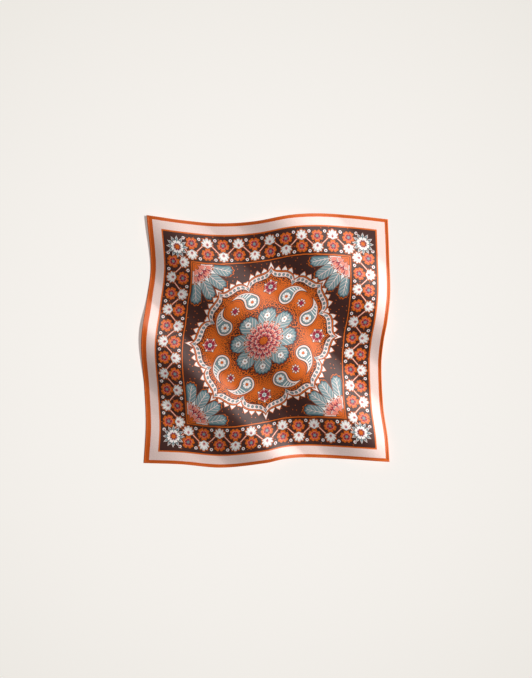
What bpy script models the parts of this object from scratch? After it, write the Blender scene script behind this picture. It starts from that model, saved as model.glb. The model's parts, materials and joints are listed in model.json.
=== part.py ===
"""A small silk square scarf, laid out on a table in soft diagonal waves.

Metres, with +Z up, +X to the right and +Y towards the scarf's top edge. The origin is under
the middle of the scarf, on the table. The scarf is one square panel of silk twill and the four
hand-rolled hems along its edges.
"""

import math
from collections import namedtuple

import bmesh
import bpy
from mathutils import Matrix, Vector

MM = 0.001

# Driving dimensions.
SIDE = 450 * MM  # the square's cut, from hem to hem
CLOTH = 1.0 * MM  # wall of the panel
ROLL_WIDTH = 3.2 * MM  # a rolled hem, measured across the edge
ROLL_HEIGHT = 2.6 * MM  # a rolled hem, above the cloth's underside
SEAM_GAP = 0.3 * MM  # between the panel and a roll, and in each mitre
SAG = 0.5 * MM  # how much of each wave's foot lies flat under the cloth's weight

# Fineness of the mesh.
CELLS = 40  # along each side of the panel, and along each roll
ROLL_SIDES = 8  # round each roll
NORMAL_STEP = 0.5 * MM  # distance over which the cloth's slope is measured
MERGE = 0.01 * MM

# Where the four corners lie on the table, in millimetres.
Corner = namedtuple("Corner", "x y")
BOTTOM_LEFT = Corner(-224.8, -225.1)
BOTTOM_RIGHT = Corner(222.2, -222.0)
TOP_LEFT = Corner(-218.4, 225.7)
TOP_RIGHT = Corner(220.3, 218.8)

# How each edge swings off the straight line between its corners. The share runs along the edge
# from the left or from the bottom, and the offset is to the right or upwards, in millimetres.
Swing = namedtuple("Swing", "share offset")
BOTTOM_SWINGS = (
    Swing(0.15, -2.5),
    Swing(0.32, -9.3),
    Swing(0.50, -0.6),
    Swing(0.57, 6.0),
    Swing(0.65, 8.4),
    Swing(0.82, 5.3),
)
TOP_SWINGS = (
    Swing(0.15, -8.0),
    Swing(0.30, -12.0),
    Swing(0.45, -7.4),
    Swing(0.60, 4.8),
    Swing(0.72, 8.6),
    Swing(0.85, 6.2),
)
LEFT_SWINGS = (
    Swing(0.15, 3.4),
    Swing(0.30, -0.5),
    Swing(0.48, -6.6),
    Swing(0.65, 1.3),
    Swing(0.80, 8.3),
)
RIGHT_SWINGS = (
    Swing(0.10, -2.8),
    Swing(0.22, -9.8),
    Swing(0.40, -12.9),
    Swing(0.50, -9.0),
    Swing(0.58, -2.6),
    Swing(0.70, 3.2),
    Swing(0.85, 2.2),
)

# The waves run from the top left to the bottom right. Each row is a ridge or the trough between
# two, and a wide trough has a row for its end too: the place along the diagonal from the
# bottom-left corner (minus) to the top-right one (plus), and the height, both at the top-left end
# and at the bottom-right end, in millimetres.
Wave = namedtuple("Wave", "name place_left place_right height_left height_right")
WAVES = (
    Wave("bottom-left corner", -325, -325, 0.0, 0.0),
    Wave("low ripple", -278, -272, 2.5, 2.2),
    Wave("third trough", -226, -224, 0.0, 0.0),
    Wave("third ridge", -149, -148, 13.5, 12.5),
    Wave("second trough", -92, -92, 0.0, 0.0),
    Wave("second trough's end", -78, -83, 0.0, 0.0),
    Wave("middle ridge", 3, -5, 13.5, 15.5),
    Wave("first trough", 79, 77, 0.0, 0.0),
    Wave("first trough's end", 97, 98, 0.0, 0.0),
    Wave("first ridge", 177, 176, 14.5, 14.5),
    Wave("top-right foot", 262, 258, 0.0, 0.0),
    Wave("top-right corner", 325, 325, 0.0, 0.0),
)
RIDGE_REACH = 260 * MM  # from the middle of a ridge to either end, where its heights are given

SILK_BROWN = (0.130, 0.062, 0.050, 1.0)
HEM_ORANGE = (0.620, 0.130, 0.035, 1.0)


def eased(low, high, share):
    """A value that leaves one level and reaches the next without a kink."""
    return low + (high - low) * (1 - math.cos(math.pi * share)) / 2


def swing_at(rows, share):
    """How far an edge is off its straight line, on one smooth curve through its rows."""
    rows = (Swing(0.0, 0.0), *rows, Swing(1.0, 0.0))
    last = len(rows) - 1
    start = max(k for k in range(last) if rows[k].share <= max(share, 0.0))

    def slope(k):
        before = rows[max(k - 1, 0)]
        after = rows[min(k + 1, last)]
        return (after.offset - before.offset) / (after.share - before.share)

    here, there = rows[start], rows[start + 1]
    span = there.share - here.share
    t = (share - here.share) / span
    ahead = t * t * (3 - 2 * t)
    return MM * (
        here.offset * (1 - ahead)
        + there.offset * ahead
        + span * slope(start) * t * (1 - t) ** 2
        - span * slope(start + 1) * t * t * (1 - t)
    )


def wave_height(x, y):
    """Height of the cloth's underside above the table."""
    place = (x + y) / math.sqrt(2)
    along = (x - y) / math.sqrt(2)
    share = min(max(0.5 + along / (2 * RIDGE_REACH), 0.0), 1.0)
    for low, high in zip(WAVES, WAVES[1:]):
        start = MM * (low.place_left + (low.place_right - low.place_left) * share)
        end = MM * (high.place_left + (high.place_right - high.place_left) * share)
        if place <= end:
            break
    foot = MM * (low.height_left + (low.height_right - low.height_left) * share)
    crest = MM * (high.height_left + (high.height_right - high.height_left) * share)
    height = eased(foot, crest, (place - start) / (end - start))
    return max(height - SAG, 0.0)


def cloth_point(across, along):
    """The cloth's underside at a place on the flat square, counted from its bottom-left corner."""
    a = across / SIDE
    b = along / SIDE
    x, y = (
        MM * (low * (1 - b) + high * b)
        for low, high in (
            (
                BOTTOM_LEFT[axis] * (1 - a) + BOTTOM_RIGHT[axis] * a,
                TOP_LEFT[axis] * (1 - a) + TOP_RIGHT[axis] * a,
            )
            for axis in (0, 1)
        )
    )
    x += swing_at(LEFT_SWINGS, b) * (1 - a) + swing_at(RIGHT_SWINGS, b) * a
    y += swing_at(BOTTOM_SWINGS, a) * (1 - b) + swing_at(TOP_SWINGS, a) * b
    return Vector((x, y, wave_height(x, y)))


def cloth_normal(across, along):
    """The way the printed face looks at a place on the flat square."""
    here = cloth_point(across, along)
    step_across = NORMAL_STEP if across < SIDE / 2 else -NORMAL_STEP
    step_along = NORMAL_STEP if along < SIDE / 2 else -NORMAL_STEP
    right = (cloth_point(across + step_across, along) - here) / step_across
    up = (cloth_point(across, along + step_along) - here) / step_along
    return right.cross(up).normalized()


def silk(name, colour):
    """Satin-faced silk of one colour."""
    material = bpy.data.materials.new(name)
    material.use_nodes = True
    shader = material.node_tree.nodes["Principled BSDF"]
    shader.inputs["Base Color"].default_value = colour
    shader.inputs["Roughness"].default_value = 0.38
    shader.inputs["Metallic"].default_value = 0.0
    shader.inputs["Sheen Weight"].default_value = 0.3
    return material


def add_piece(name, bm, material, collection):
    """One named object from a bmesh."""
    mesh = bpy.data.meshes.new(name)
    bm.to_mesh(mesh)
    bm.free()
    mesh.shade_smooth()
    mesh.materials.append(material)
    piece = bpy.data.objects.new(name, mesh)
    collection.objects.link(piece)
    return piece


def add_panel(material, collection):
    """The square of twill inside the hems, a wall that stands on its own underside."""
    edge = ROLL_WIDTH + SEAM_GAP
    bm = bmesh.new()
    bmesh.ops.create_grid(bm, x_segments=CELLS, y_segments=CELLS, size=0.5)
    # Split along the waves, so that both triangles of a cell follow the ridge.
    bmesh.ops.triangulate(bm, faces=bm.faces, quad_method="ALTERNATE")
    for vert in bm.verts:
        across = edge + (vert.co.x + 0.5) * (SIDE - 2 * edge)
        along = edge + (vert.co.y + 0.5) * (SIDE - 2 * edge)
        vert.co = cloth_point(across, along)
    panel = add_piece("panel", bm, material, collection)
    wall = panel.modifiers.new("wall", "SOLIDIFY")
    wall.thickness = CLOTH
    wall.offset = 1.0
    return panel


def turned(run, inward, quarters):
    """A place on the flat square, for an edge that is so many quarter turns from the bottom one."""
    for _ in range(quarters):
        run, inward = SIDE - inward, run
    return run, inward


def add_hem(name, quarters, material, collection):
    """The rolled hem of one edge: an oval roll that follows the edge, mitred at both corners."""
    mitre = SEAM_GAP / math.sqrt(2)
    corner = math.cos(math.pi / ROLL_SIDES)
    bm = bmesh.new()
    bmesh.ops.create_grid(bm, x_segments=CELLS, y_segments=ROLL_SIDES, size=0.5)
    for vert in bm.verts:
        angle = 2 * math.pi * (vert.co.y + 0.5 / ROLL_SIDES)
        inward = ROLL_WIDTH / 2 * (1 - math.cos(angle) / corner)
        lift = ROLL_HEIGHT / 2 * (1 + math.sin(angle) / corner)
        end = inward + mitre
        run = end + (vert.co.x + 0.5) * (SIDE - 2 * end)
        place = turned(run, inward, quarters)
        vert.co = cloth_point(*place) + lift * cloth_normal(*place)
    bmesh.ops.remove_doubles(bm, verts=bm.verts, dist=MERGE)
    bmesh.ops.holes_fill(bm, edges=bm.edges, sides=ROLL_SIDES)
    bmesh.ops.recalc_face_normals(bm, faces=bm.faces)
    return add_piece(name, bm, material, collection)


def centre_on_origin(pieces):
    """Moves the meshes so that the middle of the scarf's outline is over the origin."""
    points = [vert.co for piece in pieces for vert in piece.data.vertices]
    middle_x = (min(p.x for p in points) + max(p.x for p in points)) / 2
    middle_y = (min(p.y for p in points) + max(p.y for p in points)) / 2
    for piece in pieces:
        piece.data.transform(Matrix.Translation((-middle_x, -middle_y, 0)))


def build():
    for old in list(bpy.data.objects):
        bpy.data.objects.remove(old)
    scarf = bpy.data.collections.new("silk_square_scarf")
    bpy.context.scene.collection.children.link(scarf)
    printed = silk("printed_silk", SILK_BROWN)
    border = silk("border_silk", HEM_ORANGE)
    pieces = [add_panel(printed, scarf)]
    edges = ("hem_bottom", "hem_right", "hem_top", "hem_left")
    pieces += [add_hem(name, turn, border, scarf) for turn, name in enumerate(edges)]
    centre_on_origin(pieces)


build()
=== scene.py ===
# A small printed silk square with hand-rolled hems, laid face up in soft diagonal waves.
import functools
import json
import math
from collections import namedtuple

import bmesh
import bpy
from mathutils import Matrix, Vector, noise

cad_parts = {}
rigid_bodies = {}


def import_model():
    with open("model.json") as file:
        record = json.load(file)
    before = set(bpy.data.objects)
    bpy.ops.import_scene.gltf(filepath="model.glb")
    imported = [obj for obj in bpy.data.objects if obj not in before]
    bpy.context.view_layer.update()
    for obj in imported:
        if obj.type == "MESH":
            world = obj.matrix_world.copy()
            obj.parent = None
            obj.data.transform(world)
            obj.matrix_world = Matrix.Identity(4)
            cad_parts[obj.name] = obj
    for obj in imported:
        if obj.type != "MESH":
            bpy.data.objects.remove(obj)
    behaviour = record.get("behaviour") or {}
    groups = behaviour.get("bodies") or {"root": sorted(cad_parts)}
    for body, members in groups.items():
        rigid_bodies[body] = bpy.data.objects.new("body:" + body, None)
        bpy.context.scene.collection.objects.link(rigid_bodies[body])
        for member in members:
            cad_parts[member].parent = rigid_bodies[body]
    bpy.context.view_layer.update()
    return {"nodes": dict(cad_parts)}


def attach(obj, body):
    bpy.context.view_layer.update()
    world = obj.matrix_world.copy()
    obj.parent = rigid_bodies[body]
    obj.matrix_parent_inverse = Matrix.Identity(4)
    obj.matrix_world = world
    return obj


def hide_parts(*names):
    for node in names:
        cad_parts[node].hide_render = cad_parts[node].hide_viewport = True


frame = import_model()
MM = 0.001

# The silk panel.
# One square of satin-faced silk twill, cut on the straight grain and screen printed on one face.
# It lies loosely on the table in three soft waves, and its margins end inside the rolled hems.
SIDE = 450 * MM  # the square, from hem to hem
ROLL_WIDTH = 3.2 * MM  # a rolled hem, measured across the edge
ROLL_HEIGHT = 0.95 * MM  # a rolled hem, pressed nearly flat, above the cloth's underside
CLOTH = 0.3 * MM  # twice the real thickness, so that the two faces stay apart
LIFT = 0.12 * MM  # of the panel's underside, above the underside of the rolls
MARGIN_SHOWN = 1.4 * MM  # from the outer edge of a roll to where the panel ends inside it
SAG = 0.5 * MM  # how much of each wave's foot lies flat under the cloth's weight
CELLS = 204  # along each side of the panel
NORMAL_STEP = 0.5 * MM  # distance over which the cloth's slope is measured

Corner = namedtuple("Corner", "x y")
BOTTOM_LEFT = Corner(-224.8, -225.1)
BOTTOM_RIGHT = Corner(222.2, -222.0)
TOP_LEFT = Corner(-218.4, 225.7)
TOP_RIGHT = Corner(220.3, 218.8)

# How each edge swings off the straight line between its corners: the share of the edge from the
# left or from the bottom, and the offset to the right or upwards in millimetres.
Swing = namedtuple("Swing", "share offset")
BOTTOM_SWINGS = (
    Swing(0.15, -2.5),
    Swing(0.32, -9.3),
    Swing(0.50, -0.6),
    Swing(0.57, 6.0),
    Swing(0.65, 8.4),
    Swing(0.82, 5.3),
)
TOP_SWINGS = (
    Swing(0.15, -8.0),
    Swing(0.30, -12.0),
    Swing(0.45, -7.4),
    Swing(0.60, 4.8),
    Swing(0.72, 8.6),
    Swing(0.85, 6.2),
)
LEFT_SWINGS = (
    Swing(0.15, 3.4),
    Swing(0.30, -0.5),
    Swing(0.48, -6.6),
    Swing(0.65, 1.3),
    Swing(0.80, 8.3),
)
RIGHT_SWINGS = (
    Swing(0.10, -2.8),
    Swing(0.22, -9.8),
    Swing(0.40, -12.9),
    Swing(0.50, -9.0),
    Swing(0.58, -2.6),
    Swing(0.70, 3.2),
    Swing(0.85, 2.2),
)

# Each row is a ridge or the trough between two, and a wide trough has a row for its end too: the
# place along the diagonal from the bottom-left corner (minus) to the top-right one (plus), and
# the height, both at the top-left end and at the bottom-right end, in millimetres.
Wave = namedtuple("Wave", "name place_left place_right height_left height_right")
WAVES = (
    Wave("bottom-left corner", -325, -325, 0.0, 0.0),
    Wave("low ripple", -278, -272, 2.5, 2.2),
    Wave("third trough", -226, -224, 0.0, 0.0),
    Wave("third ridge", -149, -148, 13.5, 12.5),
    Wave("second trough", -92, -92, 0.0, 0.0),
    Wave("second trough's end", -78, -83, 0.0, 0.0),
    Wave("middle ridge", 3, -5, 13.5, 15.5),
    Wave("first trough", 79, 77, 0.0, 0.0),
    Wave("first trough's end", 97, 98, 0.0, 0.0),
    Wave("first ridge", 177, 176, 14.5, 14.5),
    Wave("top-right foot", 262, 258, 0.0, 0.0),
    Wave("top-right corner", 325, 325, 0.0, 0.0),
)
RIDGE_REACH = 260 * MM  # from the middle of a ridge to either end, where its heights are given

# Soft creases on the waves: the place along that diagonal, where the crease starts and ends
# along the ridge, how high it stands (minus for a hollow) and half its width, in millimetres.
Crease = namedtuple("Crease", "place start end height width")
CREASES = (
    Crease(-196, -95, 40, 0.35, 9),
    Crease(-114, -20, 120, -0.40, 11),
    Crease(-38, -190, -40, 0.45, 10),
    Crease(-30, 60, 215, 0.30, 8),
    Crease(34, -60, 130, -0.40, 12),
    Crease(44, -230, -110, 0.35, 9),
    Crease(138, -110, 20, 0.40, 10),
    Crease(214, -60, 60, -0.40, 12),
    Crease(206, 70, 130, 0.30, 8),
)
PUCKER = 0.22 * MM  # how high the cloth draws up beside the slip stitches
PUCKER_REACH = 7 * MM  # how far that goes in from the hem
PUCKER_LENGTH = 9 * MM  # from one pucker to the next

# Half way up the left edge the cloth curls a little further off the table.
CURL = 4 * MM
CURL_REACH = 22 * MM  # in from the edge
CURL_MIDDLE = 261 * MM  # along the edge, from the bottom
CURL_SPREAD = 58 * MM  # along the edge, to either side


def eased(low, high, share):
    """A value that leaves one level and reaches the next without a kink."""
    return low + (high - low) * (1 - math.cos(math.pi * share)) / 2


def swing_at(rows, share):
    """How far an edge is off its straight line, on one smooth curve through its rows."""
    rows = (Swing(0.0, 0.0), *rows, Swing(1.0, 0.0))
    last = len(rows) - 1
    start = max(k for k in range(last) if rows[k].share <= max(share, 0.0))

    def slope(k):
        before = rows[max(k - 1, 0)]
        after = rows[min(k + 1, last)]
        return (after.offset - before.offset) / (after.share - before.share)

    here, there = rows[start], rows[start + 1]
    span = there.share - here.share
    t = (share - here.share) / span
    ahead = t * t * (3 - 2 * t)
    return MM * (
        here.offset * (1 - ahead)
        + there.offset * ahead
        + span * slope(start) * t * (1 - t) ** 2
        - span * slope(start + 1) * t * t * (1 - t)
    )


def wave_height(place, along):
    """Height of the cloth's underside above the table, by the two diagonals."""
    share = min(max(0.5 + along / (2 * RIDGE_REACH), 0.0), 1.0)
    for low, high in zip(WAVES, WAVES[1:]):
        start = MM * (low.place_left + (low.place_right - low.place_left) * share)
        end = MM * (high.place_left + (high.place_right - high.place_left) * share)
        if place <= end:
            break
    foot = MM * (low.height_left + (low.height_right - low.height_left) * share)
    crest = MM * (high.height_left + (high.height_right - high.height_left) * share)
    return eased(foot, crest, (place - start) / (end - start)) - SAG


def crease_height(place, along):
    """What the soft creases add to the waves there."""
    height = 0.0
    for crease in CREASES:
        share = (along / MM - crease.start) / (crease.end - crease.start)
        if 0 < share < 1:
            off = (place / MM - crease.place) / crease.width
            height += crease.height * MM * math.exp(-off * off) * math.sin(math.pi * share) ** 2
    return height


def cloth_point(across, along):
    """The cloth's underside at a place on the flat square, counted from its bottom-left corner."""
    a = across / SIDE
    b = along / SIDE
    x, y = (
        MM * (low * (1 - b) + high * b)
        for low, high in (
            (
                BOTTOM_LEFT[axis] * (1 - a) + BOTTOM_RIGHT[axis] * a,
                TOP_LEFT[axis] * (1 - a) + TOP_RIGHT[axis] * a,
            )
            for axis in (0, 1)
        )
    )
    x += swing_at(LEFT_SWINGS, b) * (1 - a) + swing_at(RIGHT_SWINGS, b) * a
    y += swing_at(BOTTOM_SWINGS, a) * (1 - b) + swing_at(TOP_SWINGS, a) * b
    diagonals = ((x + y) / math.sqrt(2), (x - y) / math.sqrt(2))
    height = max(wave_height(*diagonals) + crease_height(*diagonals), 0.0)
    off_hem = max(min(across, along, SIDE - across, SIDE - along), 0.0)
    drawn_up = (1 + noise.noise(Vector((x, y, 0)) / PUCKER_LENGTH)) / 2
    height += PUCKER * drawn_up * math.exp(-off_hem / PUCKER_REACH)
    off_curl = (along - CURL_MIDDLE) / CURL_SPREAD
    height += CURL * math.exp(-((across / CURL_REACH) ** 2) - off_curl**2)
    return Vector((x, y, height))


def cloth_normal(across, along):
    """The way the printed face looks at a place on the flat square."""
    here = cloth_point(across, along)
    step_across = NORMAL_STEP if across < SIDE / 2 else -NORMAL_STEP
    step_along = NORMAL_STEP if along < SIDE / 2 else -NORMAL_STEP
    right = (cloth_point(across + step_across, along) - here) / step_across
    up = (cloth_point(across, along + step_along) - here) / step_along
    return right.cross(up).normalized()


# The middle of the outline is over the origin. That shift is read off the solid panel's
# bottom-left corner, which lies flat on the table just inside the rolls.
SEAM_GAP = 0.3 * MM  # between the solid panel and the solid rolls
solid_corner = min(
    (vert.co for vert in frame["nodes"]["panel"].data.vertices),
    key=lambda co: (round(co.x + co.y, 5), co.z),
)
flat_corner = cloth_point(ROLL_WIDTH + SEAM_GAP, ROLL_WIDTH + SEAM_GAP)
SHIFT = Matrix.Translation((solid_corner.x - flat_corner.x, solid_corner.y - flat_corner.y, 0))


def add_piece(name, bm, material):
    """One finished piece from a bmesh, at the origin, riding on the scarf's only body."""
    bmesh.ops.transform(bm, matrix=SHIFT, verts=bm.verts)
    mesh = bpy.data.meshes.new(name)
    bm.to_mesh(mesh)
    bm.free()
    mesh.shade_smooth()
    mesh.materials.append(material)
    piece = bpy.data.objects.new(name, mesh)
    bpy.context.scene.collection.objects.link(piece)
    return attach(piece, "root")


FACE_SHARE = 0.745  # of the bake's map, for the printed face
REVERSE_START = 0.755  # from here on the map is the reverse's, which needs less of it

silk = bpy.data.materials.new("screen_printed_silk_twill")
bm = bmesh.new()
bmesh.ops.create_grid(bm, x_segments=CELLS, y_segments=CELLS, size=0.5)
flat = bm.verts.layers.float_vector.new("flat")  # millimetres from the middle of the square
reverse = bm.verts.layers.float.new("reverse")  # 0 on the printed face and 1 on the other
for vert in bm.verts:
    across = MARGIN_SHOWN + (vert.co.x + 0.5) * (SIDE - 2 * MARGIN_SHOWN)
    along = MARGIN_SHOWN + (vert.co.y + 0.5) * (SIDE - 2 * MARGIN_SHOWN)
    vert[flat] = ((across - SIDE / 2) / MM, (along - SIDE / 2) / MM, 0)
    vert.co = cloth_point(across, along) + Vector((0, 0, LIFT + CLOTH))
bmesh.ops.solidify(bm, geom=bm.faces[:], thickness=CLOTH)
bm.normal_update()
bake_map = bm.loops.layers.uv.new("OFBake")
for face in bm.faces:
    under = face.normal.z < -0.5
    start, share = (REVERSE_START, 1 - REVERSE_START) if under else (0.0, FACE_SHARE)
    for loop in face.loops:
        place = loop.vert[flat] * MM / SIDE
        loop[bake_map].uv = (start + share * (place.x + 0.5), start + share * (place.y + 0.5))
    if under:
        for vert in face.verts:
            vert[reverse] = 1.0
panel = add_piece("silk_panel", bm, silk)
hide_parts("panel")

# The print on the silk.
# Acid dyes, screened ink by ink onto the twill: a lobed medallion with a ring of paisleys on
# dark brown, fans in the corners and a flowering vine round the sides, inside a striped border.


def linear(hex_colour):
    """An sRGB hex colour as the linear values that a shader takes."""
    parts = (int(hex_colour[k : k + 2], 16) / 255 for k in (1, 3, 5))
    return (*(c / 12.92 if c <= 0.04045 else ((c + 0.055) / 1.055) ** 2.4 for c in parts), 1.0)


def add_node(tree, kind, *inputs, stops=(), points=(), **settings):
    """Adds one node with its settings, then links or fills its inputs in order."""
    node = tree.nodes.new("ShaderNode" + kind)
    for name, value in settings.items():
        setattr(node, name, value)
    if stops:
        ramp = node.color_ramp
        ramp.interpolation = "CONSTANT"
        ramp.elements.remove(ramp.elements[1])
        ramp.elements[0].color = stops[0][1]
        for position, colour in stops[1:]:
            ramp.elements.new(position).color = colour
    if points:
        curve = node.mapping.curves[0]
        curve.points[0].location = points[0]
        curve.points[1].location = points[-1]
        for x, y in points[1:-1]:
            curve.points.new(x, y)
        node.mapping.update()
    for socket, value in zip([s for s in node.inputs if s.enabled], inputs):
        if isinstance(value, bpy.types.NodeSocket):
            tree.links.new(value, socket)
        elif value is not None:
            socket.default_value = value
    return next(s for s in node.outputs if s.enabled)


silk.use_nodes = True
add = functools.partial(add_node, silk.node_tree)

INKS = {
    "brown": linear("#462823"),
    "line": linear("#291A18"),
    "orange": linear("#DE691C"),
    "deep orange": linear("#D75F19"),
    "rust": linear("#A43F1F"),
    "blush": linear("#FAE0D9"),
    "white": linear("#FBF6F3"),
    "teal": linear("#7F9CA1"),
    "slate": linear("#53707A"),
    "coral": linear("#EE8B78"),
    "crimson": linear("#A32440"),
    None: (0.0, 0.0, 0.0, 0.0),  # no ink
}

# The drawing's distances are in millimetres on the flat cloth, so it follows every wave. The edge
# of a petal runs from its tip to the notch beside it, as shares of half its angle and of its reach.
EDGES = {
    "round": ((0, 1), (0.35, 0.985), (0.65, 0.92), (0.86, 0.80), (1, 0.62)),
    "pointed": ((0, 1), (0.10, 0.93), (0.35, 0.84), (0.65, 0.72), (0.88, 0.55), (1, 0.42)),
    "cleft": ((0, 0.88), (0.15, 0.96), (0.42, 1.0), (0.72, 0.92), (0.90, 0.76), (1, 0.56)),
    "ogee": ((0, 1), (0.10, 0.955), (0.35, 0.93), (0.65, 0.925), (0.88, 0.89), (1, 0.835)),
    "shell": ((0, 1), (0.3, 0.995), (0.6, 0.97), (0.85, 0.92), (1, 0.86)),
    "palmette": (
        (0, 1), (0.035, 0.98), (0.064, 0.90), (0.083, 0.78), (0.105, 0.87), (0.130, 0.95),
        (0.155, 0.96), (0.185, 0.90), (0.211, 0.80), (0.230, 0.68), (0.250, 0.76), (0.277, 0.83),
        (0.305, 0.84), (0.335, 0.78), (0.362, 0.67), (0.383, 0.55), (0.405, 0.61), (0.440, 0.66),
        (0.475, 0.65), (0.515, 0.56), (0.56, 0.42), (0.62, 0.32), (0.75, 0.30), (1, 0.30),
    ),
}


def about(place, x, y):
    """Distance and angle from a motif's centre, the angle counted from +X."""
    off = add("VectorMath", place, (x, y, 0), operation="SUBTRACT")
    sides = add("SeparateXYZ", off).node.outputs
    angle = add("Math", sides["Y"], sides["X"], operation="ARCTAN2")
    return add("VectorMath", off, operation="LENGTH"), angle


def petal_share(centred, count, notch_first=False):
    """How far a place is from the nearest petal's middle line, 0 there and 1 at the notch."""
    turn = add("Math", centred[1], count / math.pi, float(notch_first), operation="MULTIPLY_ADD")
    return add("Math", turn, 1.0, operation="PINGPONG")


def off_midrib(centred, count, notch_first=False):
    """Distance from the nearest petal's middle line."""
    off = add("Math", petal_share(centred, count, notch_first), centred[0], operation="MULTIPLY")
    return add("Math", off, math.pi / count, operation="MULTIPLY")


def petals(centred, count, reach, edge, notch_first=False):
    """How far outside the edge of a ring of petals a place lies."""
    share = petal_share(centred, count, notch_first)
    outline = add("FloatCurve", 1.0, share, points=EDGES[edge])
    return add("Math", outline, -reach, centred[0], operation="MULTIPLY_ADD")


def scalloped(outside, centred, count):
    """The same outline with small round lobes along it, so many to a full turn."""
    wave = add("Math", centred[1], count / 2, operation="MULTIPLY")
    wave = add("Math", add("Math", wave, operation="COSINE"), operation="ABSOLUTE")
    return add("Math", wave, -LOBE_DEPTH, outside, operation="MULTIPLY_ADD")


def printed(under, distance, *bands):
    """Bands of ink over what is printed first, each from its distance on up to the next one's."""
    low = bands[0][0]
    high = bands[-1][0] + 1.0
    share = add("MapRange", distance, low, high)
    stops = [((start - low) / (high - low), INKS[ink]) for start, ink in bands]
    ink = add("ValToRGB", share, stops=stops)
    return add("Mix", ink.node.outputs["Alpha"], under, ink, data_type="RGBA")


def dots(place, spacing, scatter):
    """Distance from the nearest of many scattered dots."""
    near = add("TexVoronoi", place, 1 / spacing, 0.0, 0.5, 2.0, scatter, voronoi_dimensions="2D")
    return add("Math", near, spacing, operation="MULTIPLY")


# Where on the flat cloth: drawn by hand, so every line strays up to a millimetre, and one
# eighth of the square is mirrored by the other seven.
PRINT_SHIFT = 1.7  # to the right of the cloth's own middle, where the screens were set down
STRAY_LENGTH = 28  # from one stray to the next
flat_place = add("Attribute", attribute_name="flat").node.outputs["Vector"]
flat_place = add("VectorMath", flat_place, (-PRINT_SHIFT, 0, 0), operation="ADD")
stray = add("TexNoise", flat_place, 1 / STRAY_LENGTH, 2.0, 0.5, 2.0, 0.0, noise_dimensions="2D")
stray = stray.node.outputs["Color"]
stray = add("VectorMath", stray, (2, 2, 0), (-1, -1, 0), operation="MULTIPLY_ADD")
drawn = add("VectorMath", flat_place, stray, operation="ADD")
sides = add("SeparateXYZ", add("VectorMath", drawn, operation="ABSOLUTE")).node.outputs
outer = add("Math", sides["X"], sides["Y"], operation="MAXIMUM")
inner = add("Math", sides["X"], sides["Y"], operation="MINIMUM")
wedge = add("CombineXYZ", outer, inner)

# The ground: dark brown, seeded with orange.
SEEDS = 11.0  # from one seed to the next
print_colour = printed(INKS["brown"], dots(drawn, SEEDS, 0.75), (0, "orange"), (0.9, None))


# A ring of petals: how many and how long they are, how they end, whether a notch comes first
# instead of a petal, and the bands of ink from the petals' edge, minus for inwards.
Ring = namedtuple("Ring", "count reach edge notch_first bands")
LOBE_DEPTH = 2.6  # of the small lobes along the leaves and the fans
VEIN = 0.55  # half as wide as a rib
BRANCHING = 1.4  # how steeply the fine ribs leave the midrib


def flower(under, centred, *rings, beyond=None):
    """Rings of petals about one centre, each over the wider ones, and none where beyond is over 0."""
    for ring in rings:
        outside = petals(centred, ring.count, ring.reach, ring.edge, ring.notch_first)
        if beyond is not None:
            outside = add("Math", outside, beyond, operation="MAXIMUM")
        under = printed(under, outside, *ring.bands)
    return under


def veins(under, centred, count, outside, inset, spacing, notch_first=False):
    """A rib down each petal and fine ribs that branch off it, kept inside the petal's edge."""
    midrib = off_midrib(centred, count, notch_first)
    branch = add("Math", midrib, -BRANCHING, centred[0], operation="MULTIPLY_ADD")
    branch = add("Math", branch, spacing / 2, operation="PINGPONG")
    rib = add("Math", midrib, branch, operation="MINIMUM")
    rib = add("Math", rib, add("Math", outside, inset, operation="ADD"), operation="MAXIMUM")
    return printed(under, rib, (0, "blush"), (VEIN, None))


# The vine: its stem swings to and fro across the border, with a palmette on each bend and a
# blossom inside it. One cell holds one bend, and every second cell is turned over.
VINE_CELL = 29.4
VINE_LINE = 174.25  # the border's middle line, from the middle of the square
VINE_SWING = 9.5
PALMETTE_BASE = 6.5  # from the middle line, towards the bend
BLOSSOM_MIDDLE = -9.0
BERRY_LINE = 18.0  # from the middle line, to both sides
cell_number = add("Math", inner, 1 / VINE_CELL, operation="MULTIPLY")
cell_number = add("Math", cell_number, operation="ROUND")
along_cell = add("Math", cell_number, -VINE_CELL, inner, operation="MULTIPLY_ADD")
turned = add("Math", cell_number, math.pi, operation="MULTIPLY")
turned = add("Math", turned, operation="COSINE")  # 1, and -1 in every second cell
across_cell = add("Math", outer, -VINE_LINE, operation="ADD")
across_cell = add("Math", across_cell, turned, operation="MULTIPLY")
cell = add("CombineXYZ", across_cell, along_cell)
bend = add("Math", along_cell, math.pi / VINE_CELL, operation="MULTIPLY")
bend = add("Math", bend, operation="COSINE")
off_stem = add("Math", bend, -VINE_SWING, across_cell, operation="MULTIPLY_ADD")
off_stem = add("Math", off_stem, operation="ABSOLUTE")
print_colour = printed(
    print_colour, off_stem, (0, "blush"), (0.7, "orange"), (1.9, "line"), (2.6, None)
)
print_colour = flower(
    print_colour,
    about(cell, PALMETTE_BASE, 0),
    Ring(
        1, 15.5, "palmette", False,
        (
            (-16, "crimson"), (-11.4, "line"), (-10.8, "coral"), (-9.4, "white"), (-3.3, "teal"),
            (-2.6, "white"), (-1.0, "line"), (-0.3, "orange"), (1.2, "line"), (1.9, None),
        ),
    ),
)
folded_cell = add("VectorMath", cell, operation="ABSOLUTE")
off_berry = about(folded_cell, BERRY_LINE, VINE_CELL / 2)[0]
print_colour = printed(
    print_colour, off_berry, (0, "crimson"), (1.4, "white"), (2.9, "line"), (3.6, None)
)
print_colour = flower(
    print_colour,
    about(cell, BLOSSOM_MIDDLE, 0),
    Ring(
        5, 13.0, "cleft", False,
        (
            (-13, "teal"), (-9.8, "line"), (-9.0, "crimson"), (-6.4, "coral"), (-5.4, "orange"),
            (-1.1, "line"), (0, None),
        ),
    ),
)

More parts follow.
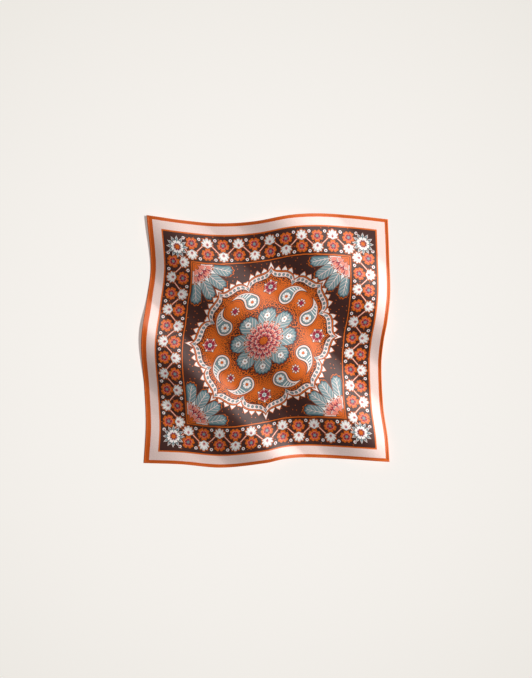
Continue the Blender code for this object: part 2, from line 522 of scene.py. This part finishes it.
# The blossom in each corner of the border, on a clear ground past the vine's last whole bend.
VINE_END = 5.5 * VINE_CELL
in_corner = add("Math", VINE_END, inner, operation="SUBTRACT")
print_colour = printed(print_colour, in_corner, (-90, "brown"), (-4.0, None))
print_colour = flower(
    print_colour,
    about(wedge, VINE_LINE, VINE_LINE),
    Ring(12, 22, "pointed", False, ((-22, "teal"), (-3.0, "blush"), (-1.2, "line"), (0.4, None))),
    Ring(8, 13.5, "cleft", True, ((-13, "crimson"), (-6, "white"), (-1.1, "line"), (0, None))),
    Ring(8, 5.5, "round", False, ((-5, "orange"), (-1.0, "line"), (0, None))),
)

# The line that parts the border from the inner field.
INNER_FIELD = 150.0  # from the middle of the square to the line
LINE_REACH = 2.2  # to either side of its middle
off_line = add("Math", add("Math", outer, -INNER_FIELD, operation="ADD"), operation="ABSOLUTE")
print_colour = printed(
    print_colour, off_line, (0, "orange"), (1.0, "line"), (LINE_REACH, None)
)

# The fans that fill the field's corners.
FAN_FOLDS = 16  # to a full turn, of which a quarter shows
FAN_LOBES = 80
FAN_REACH = 78
corner = about(wedge, INNER_FIELD, INNER_FIELD)
past_line = add("Math", outer, -(INNER_FIELD - LINE_REACH), operation="ADD")
fan = petals(corner, FAN_FOLDS, FAN_REACH, "round", notch_first=True)
fan = scalloped(fan, corner, FAN_LOBES)
fan = add("Math", fan, past_line, operation="MAXIMUM")
print_colour = printed(
    print_colour, fan,
    (-30, "teal"), (-3.6, "slate"), (-1.4, "line"), (0.2, "orange"), (2.0, "line"), (2.8, None),
)
print_colour = veins(
    print_colour, corner, FAN_FOLDS, fan, inset=6.0, spacing=8.0, notch_first=True
)
print_colour = flower(
    print_colour,
    corner,
    Ring(16, 52, "pointed", False, ((-14, "crimson"), (-9, "white"), (-1.2, "line"), (0, None))),
    Ring(
        16, 42, "cleft", True,
        (
            (-16, "crimson"), (-9, "coral"), (-2.8, "blush"), (-1.1, "line"), (0, "orange"),
            (1.3, None),
        ),
    ),
    Ring(16, 30, "cleft", False, ((-14, "coral"), (-2.8, "blush"), (-1.1, "line"), (0, None))),
    Ring(
        12, 19, "round", True,
        ((-14, "orange"), (-4.2, "rust"), (-3.2, "orange"), (-1.0, "line"), (0, None)),
    ),
    beyond=past_line,
)

# The medallion: flames round a scalloped rim set with pearls, and the orange field inside it.
RIM = 137.0
RIM_ARCHES = 8
FLAMES = 64
FLAME_ROOT = 10.0  # inside the rim
FLAME_REACH = 19.5  # from the root
PEARLS = 96
PEARL_LINE = 6.8  # inside the rim
middle = about(wedge, 0, 0)
distance, angle = middle
rim = petals(middle, RIM_ARCHES, RIM, "ogee")
rooted = (add("Math", rim, FLAME_ROOT, operation="ADD"), angle)
flame = petals(rooted, FLAMES, FLAME_REACH, "pointed")
print_colour = printed(
    print_colour, flame, (-30, "white"), (-1.0, "orange"), (0.8, "line"), (1.6, None)
)
print_colour = printed(
    print_colour, rim, (-30, "blush"), (-2.6, "line"), (-1.7, "orange"), (0.4, "line"), (1.2, None)
)
off_pearls = add("Math", rim, PEARL_LINE, operation="ADD")
off_pearl = add("CombineXYZ", off_midrib(middle, PEARLS), off_pearls)
off_pearl = add("VectorMath", off_pearl, operation="LENGTH")
print_colour = printed(print_colour, off_pearl, (0, "teal"), (1.9, "line"), (2.6, None))
print_colour = printed(
    print_colour, rim, (-30, "orange"), (-12.6, "rust"), (-11.8, "line"), (-10.8, None)
)

# Stippling: dots that grow from nothing and crowd together towards the rim and the middle.
STIPPLE = 2.9  # from one dot to the next
FIELD_EDGE = 12.0  # inside the rim
RIM_DOT = 1.25  # how far a dot by the rim reaches from its own middle
RIM_DOTS_START = 36.0  # inside the rim
MIDDLE_DOT = 1.35
MIDDLE_DOTS_START = 92.0  # from the middle of the square
MIDDLE_DOTS_END = 60.0
near_rim = add("MapRange", rim, -RIM_DOTS_START, -FIELD_EDGE, 0.0, RIM_DOT)
near_middle = add("MapRange", distance, MIDDLE_DOTS_START, MIDDLE_DOTS_END, 0.0, MIDDLE_DOT)
growth = add("Math", near_rim, near_middle, operation="MAXIMUM")
stipple = add("Math", dots(drawn, STIPPLE, 0.9), growth, operation="SUBTRACT")
past_field = add("Math", rim, FIELD_EDGE, operation="ADD")
stipple = add("Math", stipple, past_field, operation="MAXIMUM")
print_colour = printed(print_colour, stipple, (-3, "line"), (0, None))

# The paisleys: a drop whose tail bends round, more the further it is from the head.
HEAD = 15.0
HEAD_X, HEAD_Y = 76.0, 31.5
TAPER = 0.36  # sine of half the tail's angle
SWIRL = 0.030  # radians of bend for each millimetre
LEAN = 0.30  # radians that the tail leans by at the head
TAIL_RIBS = 4.4  # from one rib to the next
TAIL_START = 13.0  # of the ribs, from the middle of the head
LINING = 5.2  # from the paisley's edge to the ribs
from_head = add("VectorMath", wedge, (HEAD_X, HEAD_Y, 0), operation="SUBTRACT")
span = add("VectorMath", from_head, operation="LENGTH")
swirl = add("Math", span, -SWIRL, -LEAN, operation="MULTIPLY_ADD")
unbent = add("VectorRotate", from_head, (0, 0, 0), swirl, rotation_type="Z_AXIS")
ends = add("SeparateXYZ", unbent).node.outputs
flank = add("Math", ends["Y"], operation="ABSOLUTE")
flank = add("Math", flank, math.sqrt(1 - TAPER**2), -HEAD, operation="MULTIPLY_ADD")
flank = add("Math", ends["X"], TAPER, flank, operation="MULTIPLY_ADD")
behind = add("Math", span, TAPER, operation="MULTIPLY")
behind = add("Math", ends["X"], behind, operation="LESS_THAN")
paisley = add("Mix", behind, flank, add("Math", span, -HEAD, operation="ADD"))
print_colour = printed(
    print_colour, paisley,
    (-20, "teal"), (-4.9, "line"), (-4.1, "blush"), (-1.3, "line"), (0, "orange"), (1.9, "rust"),
    (2.7, None),
)
tail_rib = add("Math", ends["X"], TAIL_RIBS / 2, operation="PINGPONG")
before_tail = add("Math", TAIL_START, ends["X"], operation="SUBTRACT")
tail_rib = add("Math", tail_rib, before_tail, operation="MAXIMUM")
past_lining = add("Math", paisley, LINING, operation="ADD")
tail_rib = add("Math", tail_rib, past_lining, operation="MAXIMUM")
print_colour = printed(print_colour, tail_rib, (0, "white"), (0.8, None))
print_colour = flower(
    print_colour,
    about(unbent, 0, 0),
    Ring(
        8, 9.0, "cleft", False,
        ((-9, "coral"), (-6.2, "line"), (-5.5, "white"), (-0.9, "line"), (0, None)),
    ),
    Ring(5, 2.6, "round", False, ((-3, "orange"), (0, None))),
)

# Blossoms between the paisleys, on the sides' middle lines and on the diagonals.
SIDE_BLOSSOM = 100  # from the middle of the square
DIAGONAL_BLOSSOM = 61  # from each middle line
print_colour = flower(
    print_colour,
    about(wedge, SIDE_BLOSSOM, 0),
    Ring(6, 15.0, "pointed", False, ((-15, "white"), (-1.0, "line"), (0, None))),
    Ring(6, 12.5, "cleft", True, ((-12, "crimson"), (-2.8, "coral"), (-1.0, "line"), (0, None))),
    Ring(6, 5.0, "round", False, ((-5, "teal"), (-2.2, "white"), (-0.9, "line"), (0, None))),
)
print_colour = flower(
    print_colour,
    about(wedge, DIAGONAL_BLOSSOM, DIAGONAL_BLOSSOM),
    Ring(8, 9.5, "pointed", False, ((-9, "blush"), (-1.0, "line"), (0, None))),
    Ring(4, 5.2, "cleft", False, ((-5, "crimson"), (-0.9, "line"), (0, None))),
)

# The rosette in the middle: eight scalloped leaves, each with a small blossom, then four rings
# of petals and a seeded core.
LEAVES = 8
LEAF_LOBES = 56
LEAF_REACH = 60
LEAF_BLOSSOM = 47  # from the middle of the square
CORE = 7.6
CORE_SEEDS = 2.6  # from one seed to the next
leaf = scalloped(petals(middle, LEAVES, LEAF_REACH, "round"), middle, LEAF_LOBES)
print_colour = printed(
    print_colour, leaf, (-20, "teal"), (-3.4, "slate"), (-1.3, "line"), (0.4, "rust"), (1.8, None)
)
print_colour = veins(print_colour, middle, LEAVES, leaf, inset=5.4, spacing=8.5)
on_leaf = add("CombineXYZ", distance, off_midrib(middle, LEAVES))
print_colour = flower(
    print_colour,
    about(on_leaf, LEAF_BLOSSOM, 0),
    Ring(
        5, 6.6, "cleft", True,
        ((-7, "orange"), (-5.2, "line"), (-4.6, "white"), (-0.8, "line"), (0, None)),
    ),
)
print_colour = flower(
    print_colour,
    middle,
    Ring(
        16, 35, "cleft", False,
        (
            (-12, "crimson"), (-6.2, "coral"), (-2.6, "blush"), (-1.1, "line"), (0.2, "orange"),
            (1.5, None),
        ),
    ),
    Ring(
        12, 26, "cleft", True,
        ((-12, "crimson"), (-6.0, "coral"), (-2.4, "blush"), (-1.1, "line"), (0, None)),
    ),
    Ring(
        8, 17, "cleft", False,
        ((-9, "crimson"), (-4.6, "coral"), (-2.2, "blush"), (-1.0, "line"), (0, None)),
    ),
    Ring(8, 9, "shell", False, ((-9, "orange"), (-1.6, "rust"), (-0.8, "line"), (0, None))),
)
past_core = add("Math", distance, -CORE, operation="ADD")
core_seed = add("Math", dots(drawn, CORE_SEEDS, 0.35), past_core, operation="MAXIMUM")
print_colour = printed(print_colour, core_seed, (0, "line"), (0.55, None))

# The stripes along the edge, ruled and so not astray: orange, blush white and a fine orange line.
BAND_REACH = (216.7, 218.8)  # to the outer edge of the blush band, across and up from its middle
ruled = add("VectorMath", flat_place, operation="ABSOLUTE")
ruled = add("VectorMath", (*BAND_REACH, 0), ruled, operation="SUBTRACT")
ruled = add("SeparateXYZ", ruled).node.outputs
into_band = add("Math", ruled["X"], ruled["Y"], operation="MINIMUM")
print_colour = printed(
    print_colour, into_band, (-12, "deep orange"), (0, "blush"), (15.4, "orange"), (18.1, None)
)

# Silk takes the dye a little unevenly, and the reverse of the cloth shows a paler, duller print.
MOTTLE = 2.2  # from one uneven spot to the next
mottle = add("TexNoise", flat_place, 1 / MOTTLE, 3.0, 0.6, 2.0, 0.0, noise_dimensions="2D")
mottle = add("MapRange", mottle, 0.3, 0.7, 0.94, 1.05)
print_colour = add("Mix", 1.0, print_colour, mottle, data_type="RGBA", blend_type="MULTIPLY")
on_reverse = add("Attribute", attribute_name="reverse").node.outputs["Fac"]
paler = add("Mix", 0.42, print_colour, linear("#C9B2AA"), data_type="RGBA")
silk_colour = add("Mix", on_reverse, print_colour, paler, data_type="RGBA")

# Twill runs at 63 degrees to the selvedge, drawn at 0.9 mm where the real rib is 0.25 mm, so
# that it shows from close by. The satin face floats over it and gives a long, soft shine, a
# little rougher where the yarn has a slub.
TWILL = 0.9
TWILL_ANGLE = math.radians(63)
SLUB_LENGTH = 14
SLUB_WIDTH = 1.1
rib_way = (math.sin(TWILL_ANGLE) / TWILL, -math.cos(TWILL_ANGLE) / TWILL, 0)
rib = add("VectorMath", flat_place, rib_way, operation="DOT_PRODUCT")
rib = add("Math", add("Math", rib, math.tau, operation="MULTIPLY"), operation="SINE")
slub = add("VectorMath", flat_place, (1 / SLUB_LENGTH, 1 / SLUB_WIDTH, 0), operation="MULTIPLY")
slub = add("TexNoise", slub, 1.0, 2.0, 0.5)
relief = add("Math", slub, 3.0, rib, operation="MULTIPLY_ADD")
weave = add("Bump", 0.35, 0.02 * MM, None, relief)
satin = add("MapRange", slub, 0.3, 0.7, 0.33, 0.41)

SILK_IOR = 1.54
shader = silk.node_tree.nodes["Principled BSDF"]
silk.node_tree.links.new(silk_colour, shader.inputs["Base Color"])
silk.node_tree.links.new(satin, shader.inputs["Roughness"])
silk.node_tree.links.new(weave, shader.inputs["Normal"])
shader.inputs["IOR"].default_value = SILK_IOR
shader.inputs["Sheen Weight"].default_value = 0.1
shader.inputs["Sheen Roughness"].default_value = 0.35

# The rolled hems.
# The raw edges, rolled between finger and thumb towards the printed face and pressed nearly
# flat, one along each side. They show the print's orange edge, and they meet in mitres.
STITCH = 3.6 * MM  # from one slip stitch to the next
STITCH_GRIP = 0.8 * MM  # how far along the roll a stitch draws it in
FIRST_STITCH = 5.4 * MM  # from the corner
GRIP = 0.10  # how much of its thickness the roll loses at a stitch
UNEVEN = 0.05  # how much of its thickness a hand-made roll varies by
UNEVEN_LENGTH = 17 * MM
ROLL_SIDES = 16  # round each roll
ROLL_STATIONS = 620  # along each roll
MITRE = 0.05 * MM  # what each roll leaves free of it
OWN_HAND = 3.7  # between one edge's place in the noise and the next one's
MERGE = 0.01 * MM
EDGES_ROUND = ("bottom", "right", "top", "left")


def edge_place(run, inward, quarters):
    """A place on the flat square, for an edge that is so many quarter turns from the bottom one."""
    for _ in range(quarters):
        run, inward = SIDE - inward, run
    return run, inward


def roll_fullness(run, quarters):
    """How much of its full thickness a roll has at a place along it."""
    off_stitch = (run - FIRST_STITCH + STITCH / 2) % STITCH - STITCH / 2
    grip = GRIP * math.exp(-((off_stitch / STITCH_GRIP) ** 2))
    hand = noise.noise(Vector((run / UNEVEN_LENGTH, OWN_HAND * quarters, 0.5)))
    return 1 - UNEVEN * (1 - hand) / 2 - grip


rolled = bpy.data.materials.new("rolled_orange_silk")
for quarters, edge in enumerate(EDGES_ROUND):
    bm = bmesh.new()
    bmesh.ops.create_grid(bm, x_segments=ROLL_STATIONS, y_segments=ROLL_SIDES, size=0.5)
    lengthwise = bm.verts.layers.float_vector.new("roll")  # millimetres along and round the roll
    for vert in bm.verts:
        angle = math.tau * (vert.co.y + 0.5)
        share = vert.co.x + 0.5
        full = roll_fullness(share * SIDE, quarters)
        inward = ROLL_WIDTH / 2 * (1 - full * math.cos(angle))
        lift = ROLL_HEIGHT / 2 * (1 + full * math.sin(angle))
        end = inward + MITRE
        run = end + share * (SIDE - 2 * end)
        place = edge_place(run, inward, quarters)
        vert[lengthwise] = (run / MM, angle * ROLL_WIDTH / 2 / MM, 0)
        vert.co = cloth_point(*place) + lift * cloth_normal(*place)
    bmesh.ops.remove_doubles(bm, verts=bm.verts, dist=MERGE)
    bmesh.ops.holes_fill(bm, edges=bm.edges, sides=ROLL_SIDES)
    bmesh.ops.recalc_face_normals(bm, faces=bm.faces)
    hem = add_piece(f"rolled_hem_{edge}", bm, rolled)
    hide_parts(f"hem_{edge}")

# The same dyed silk as the print's outer stripe, with the weave winding round the roll, and
# painted shade that darkens the hollows of its twist.
TWIST_ALONG = 3.8  # millimetres from one turn of the twist to the next, along the roll
TWIST_ROUND = 2.2  # and round it
FIBRE = 1.4
rolled.use_nodes = True
add = functools.partial(add_node, rolled.node_tree)
on_roll = add("Attribute", attribute_name="roll").node.outputs["Vector"]
twist_way = (1 / TWIST_ALONG, 1 / TWIST_ROUND, 0)
twist = add("VectorMath", on_roll, twist_way, operation="DOT_PRODUCT")
twist = add("Math", add("Math", twist, math.tau, operation="MULTIPLY"), operation="SINE")
fibre = add("TexNoise", on_roll, 1 / FIBRE, 3.0, 0.6)
roll_relief = add("Math", fibre, 2.5, twist, operation="MULTIPLY_ADD")
# Painted shade: the colour goes darker where the twist's relief is low, in its hollows.
twist_lit_share = add("MapRange", roll_relief, -0.5, 3.0, 0.0, 1.0)
roll_dye_and_painted_shade = add("Mix", twist_lit_share, linear("#CB591B"), linear("#E6722E"), data_type="RGBA")
roll_weave = add("Bump", 0.5, 0.04 * MM, None, roll_relief)
shader = rolled.node_tree.nodes["Principled BSDF"]
rolled.node_tree.links.new(roll_dye_and_painted_shade, shader.inputs["Base Color"])
rolled.node_tree.links.new(roll_weave, shader.inputs["Normal"])
shader.inputs["Roughness"].default_value = 0.38
shader.inputs["IOR"].default_value = SILK_IOR
shader.inputs["Sheen Weight"].default_value = 0.1
shader.inputs["Sheen Roughness"].default_value = 0.35

# The slip stitches.
# Short bars of orange silk thread that catch the base of the roll down to the cloth, sewn by
# hand, so no two lie quite alike.
THREAD = 0.2 * MM  # across the thread
STITCH_LENGTH = 1.5 * MM
STITCH_SLANT = math.radians(32)  # from square to the edge
STITCH_DIVE = 0.55  # how steeply a stitch goes down into the cloth
STITCH_HEIGHT = 0.3 * MM  # of its middle, above the cloth
STITCH_LINE = ROLL_WIDTH - 0.25 * MM  # from the edge, just under the roll's inner side
STITCH_HAND = 9.1  # the first edge's place in the noise
thread = bpy.data.materials.new("orange_silk_thread")
for quarters, edge in enumerate(EDGES_ROUND):
    bm = bmesh.new()
    run = FIRST_STITCH
    while run < SIDE - FIRST_STITCH:
        hand = noise.noise(Vector((run / STITCH, STITCH_HAND + quarters, 0.5)))
        place = edge_place(run, STITCH_LINE, quarters)
        ahead = edge_place(run + NORMAL_STEP, STITCH_LINE, quarters)
        upward = cloth_normal(*place)
        forward = (cloth_point(*ahead) - cloth_point(*place)).normalized()
        across = upward.cross(forward)
        bar = math.cos(STITCH_SLANT + hand) * across + math.sin(STITCH_SLANT + hand) * forward
        bar = (bar - STITCH_DIVE * upward).normalized()
        side = bar.cross(upward).normalized()
        turn = Matrix((bar, side, bar.cross(side))).transposed().to_4x4()
        centre = cloth_point(*place) + (LIFT + CLOTH + STITCH_HEIGHT) * upward
        shape = Matrix.Diagonal((STITCH_LENGTH / 2, THREAD / 2, THREAD / 2, 1))
        bmesh.ops.create_uvsphere(
            bm,
            u_segments=6,
            v_segments=5,
            radius=1.0,
            matrix=Matrix.Translation(centre) @ turn @ shape,
        )
        run += STITCH
    bmesh.ops.recalc_face_normals(bm, faces=bm.faces)
    stitches = add_piece(f"slip_stitches_{edge}", bm, thread)

# Twisted silk: brighter than the cloth, with a fine ply that winds round the thread, and painted
# shade in the ply's grooves.
PLY = 0.5 * MM
thread.use_nodes = True
add = functools.partial(add_node, thread.node_tree)
place = add("TexCoord").node.outputs["Object"]
ply = add("TexWave", place, 1 / PLY, 0.6, bands_direction="DIAGONAL").node.outputs["Fac"]
# Painted shade: the thread is darker where the ply is low, in its grooves.
thread_dye_and_painted_shade = add("Mix", ply, linear("#CD5B1B"), linear("#EC843D"), data_type="RGBA")
thread_ply = add("Bump", 0.4, 0.02 * MM, None, ply)
shader = thread.node_tree.nodes["Principled BSDF"]
thread.node_tree.links.new(thread_dye_and_painted_shade, shader.inputs["Base Color"])
thread.node_tree.links.new(thread_ply, shader.inputs["Normal"])
shader.inputs["Roughness"].default_value = 0.34
shader.inputs["Sheen Weight"].default_value = 0.2

# The table, the light and the camera.
# A pale, matt table top that glows a little, like a lit product table, so that the scarf leaves
# only a thin shadow on it. Soft lamps at the right light the scarf, and a small one the table.
TABLE_SIDE = 14.0
TABLE_DROP = 0.4 * MM  # below the lowest of the cloth, so that the two never share a plane
paper = bpy.data.materials.new("matt_pale_paper")
bm = bmesh.new()
bmesh.ops.create_grid(bm, x_segments=8, y_segments=8, size=TABLE_SIDE / 2)
bmesh.ops.translate(bm, vec=(0, 0, -TABLE_DROP), verts=bm.verts)
mesh = bpy.data.meshes.new("table_top")
bm.to_mesh(mesh)
bm.free()
mesh.materials.append(paper)
table_top = bpy.data.objects.new("table_top", mesh)
bpy.context.scene.collection.objects.link(table_top)

# Uncoated paper with a fine tooth. Its colour and its glow are both painted darker away from the
# middle of the table, as a painted falloff of light.
TOOTH = 1.5 * MM
GLOW = 0.32
GLOW_REACH = 0.9  # metres, to where it has faded
paper.use_nodes = True
add = functools.partial(add_node, paper.node_tree)
place = add("TexCoord").node.outputs["Object"]
tooth = add("TexNoise", place, 1 / TOOTH, 3.0, 0.5)
tooth = add("Bump", 0.1, 0.03 * MM, None, tooth)
far = add("Math", add("VectorMath", place, operation="LENGTH"), 1 / GLOW_REACH, operation="MULTIPLY")
far = add("MapRange", add("Math", far, 2.0, operation="POWER"), 0.0, 1.0)
# Painted light: darker colour and glow away from the middle, a painted falloff.
paper_colour_and_painted_falloff = add("Mix", far, linear("#E7E4E0"), linear("#DAD7D1"), data_type="RGBA")
shader = paper.node_tree.nodes["Principled BSDF"]
paper.node_tree.links.new(tooth, shader.inputs["Normal"])
paper.node_tree.links.new(paper_colour_and_painted_falloff, shader.inputs["Base Color"])
paper.node_tree.links.new(paper_colour_and_painted_falloff, shader.inputs["Emission Color"])
shader.inputs["Roughness"].default_value = 0.9
shader.inputs["Specular IOR Level"].default_value = 0.0
shader.inputs["Emission Strength"].default_value = GLOW

# Each lamp is flagged off from what it isn't meant to light. The large one at the right rakes over
# the waves and isn't mirrored in them, because the satin would glare when seen from low at the
# left. The satin's shine comes from a smaller one higher up.
scarf_pieces = bpy.data.collections.new("lit_scarf")
for piece in bpy.context.scene.objects:
    if piece.type == "MESH" and piece != table_top:
        scarf_pieces.objects.link(piece)
table_pieces = bpy.data.collections.new("lit_table")
table_pieces.objects.link(table_top)


def add_lamp(name, kind, azimuth, elevation, distance, energy, colour, lights_up):
    """A lamp that faces the middle of the scarf, flagged so that it lights only one collection."""
    lamp = bpy.data.objects.new(name, bpy.data.lights.new(name, kind))
    lamp.data.energy = energy
    lamp.data.color = colour
    way = Matrix.Rotation(math.radians(azimuth), 3, "Z") @ Vector(
        (math.cos(math.radians(elevation)), 0, math.sin(math.radians(elevation)))
    )
    lamp.location = distance * way
    lamp.rotation_euler = way.to_track_quat("Z", "Y").to_euler()
    lamp.light_linking.receiver_collection = lights_up
    bpy.context.scene.collection.objects.link(lamp)
    return lamp


raking = add_lamp(
    "raking_softbox",
    "AREA",
    azimuth=8,
    elevation=27,
    distance=1.7,
    energy=56.5,
    colour=(1.0, 0.985, 0.97),
    lights_up=scarf_pieces,
)
raking.data.shape = "DISK"
raking.data.size = 1.4
raking.visible_glossy = False
satin_lamp = add_lamp(
    "satin_softbox",
    "AREA",
    azimuth=25,
    elevation=52,
    distance=2.6,
    energy=27,
    colour=(1.0, 0.92, 0.89),
    lights_up=scarf_pieces,
)
satin_lamp.data.shape = "DISK"
satin_lamp.data.size = 1.2
satin_lamp.visible_diffuse = False
table_lamp = add_lamp(
    "table_lamp",
    "SUN",
    azimuth=0,
    elevation=69,
    distance=3.0,
    energy=2.55,
    colour=(1.0, 1.0, 1.0),
    lights_up=table_pieces,
)
table_lamp.data.angle = math.radians(2.5)

# A little warm light comes back from the room.
world = bpy.data.worlds.new("studio")
bpy.context.scene.world = world
world.use_nodes = True
room = world.node_tree.nodes["Background"]
room.inputs["Color"].default_value = (1.0, 0.93, 0.88, 1)
room.inputs["Strength"].default_value = 0.085

# The camera looks straight down. Metres, and millimetres for the sensor and the lens.
CAMERA_HEIGHT = 3.0
VIEW_LONG_SIDE = 1.234  # of the table that the camera sees
VIEW_MIDDLE = (0.0003, 0.0027)
SENSOR = 36.0
camera = bpy.data.objects.new("camera", bpy.data.cameras.new("camera"))
camera.data.sensor_width = SENSOR
camera.data.lens = SENSOR * CAMERA_HEIGHT / VIEW_LONG_SIDE
camera.location = (*VIEW_MIDDLE, CAMERA_HEIGHT)
bpy.context.scene.collection.objects.link(camera)
bpy.context.scene.camera = camera
bpy.context.scene.view_settings.view_transform = "Standard"
